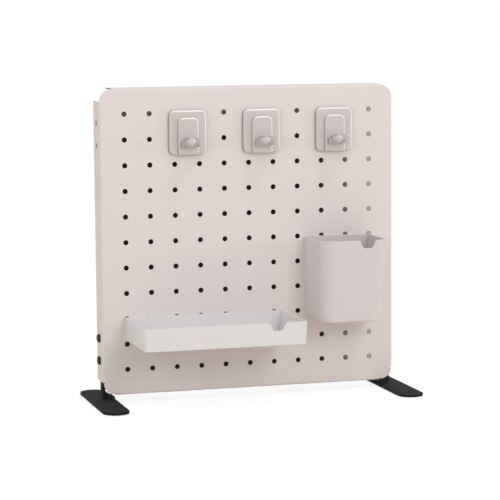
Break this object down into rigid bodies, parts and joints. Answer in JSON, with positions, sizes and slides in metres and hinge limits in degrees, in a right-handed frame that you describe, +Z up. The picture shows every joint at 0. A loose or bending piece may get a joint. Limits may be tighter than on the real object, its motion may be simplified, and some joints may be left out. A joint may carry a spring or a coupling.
{
  "type": "desktop pegboard organizer",
  "caption": "Free-standing perforated steel board on two black feet, carrying plug-in hooks, an open tray and a pen cup.",
  "frame": {"origin": "on the standing surface, under the middle of the whole object's box", "axes": "+X to the viewer's right along the board, +Y to the board's back, +Z up"},
  "size_m": [0.3244, 0.149, 0.3082],
  "materials": {
    "board_paint": "warm white fine-texture powder coat",
    "white_plastic": "white moulded plastic, fine satin",
    "hook_plastic": "pale grey-white moulded plastic, semi-gloss",
    "foot_paint": "black fine-texture powder coat",
    "pad_rubber": "black foam rubber",
    "screw_steel": "dark bronze-black oxide",
    "nut_steel": "zinc plate"
  },
  "bodies": {
    "stand": {"board": "board_paint", "foot_plate_left": "foot_paint", "foot_pads_left": "pad_rubber", "foot_bracket_left": "foot_paint", "foot_rivets_left": "foot_paint", "side_screws_left": "screw_steel", "side_nuts_left": "nut_steel", "foot_plate_right": "foot_paint", "foot_pads_right": "pad_rubber", "foot_bracket_right": "foot_paint", "foot_rivets_right": "foot_paint", "side_screws_right": "screw_steel", "side_nuts_right": "nut_steel"},
    "tray": {"tray": "white_plastic"},
    "pen_cup": {"pen_cup": "white_plastic"},
    "hook_left": {"hook_left_plate": "hook_plastic", "hook_left_arm": "hook_plastic"},
    "hook_middle": {"hook_middle_plate": "hook_plastic", "hook_middle_arm": "hook_plastic"},
    "hook_right": {"hook_right_plate": "hook_plastic", "hook_right_arm": "hook_plastic"}
  },
  "joints": [
    {"name": "tray_pull", "type": "slide", "parent": "stand", "child": "tray", "axis": [0, -1, 0], "range_m": [0, 0.03]},
    {"name": "pen_cup_pull", "type": "slide", "parent": "stand", "child": "pen_cup", "axis": [0, -1, 0], "range_m": [0, 0.03]},
    {"name": "hook_left_pull", "type": "slide", "parent": "stand", "child": "hook_left", "axis": [0, -1, 0], "range_m": [0, 0.03]},
    {"name": "hook_middle_pull", "type": "slide", "parent": "stand", "child": "hook_middle", "axis": [0, -1, 0], "range_m": [0, 0.03]},
    {"name": "hook_right_pull", "type": "slide", "parent": "stand", "child": "hook_right", "axis": [0, -1, 0], "range_m": [0, 0.03]}
  ]
}
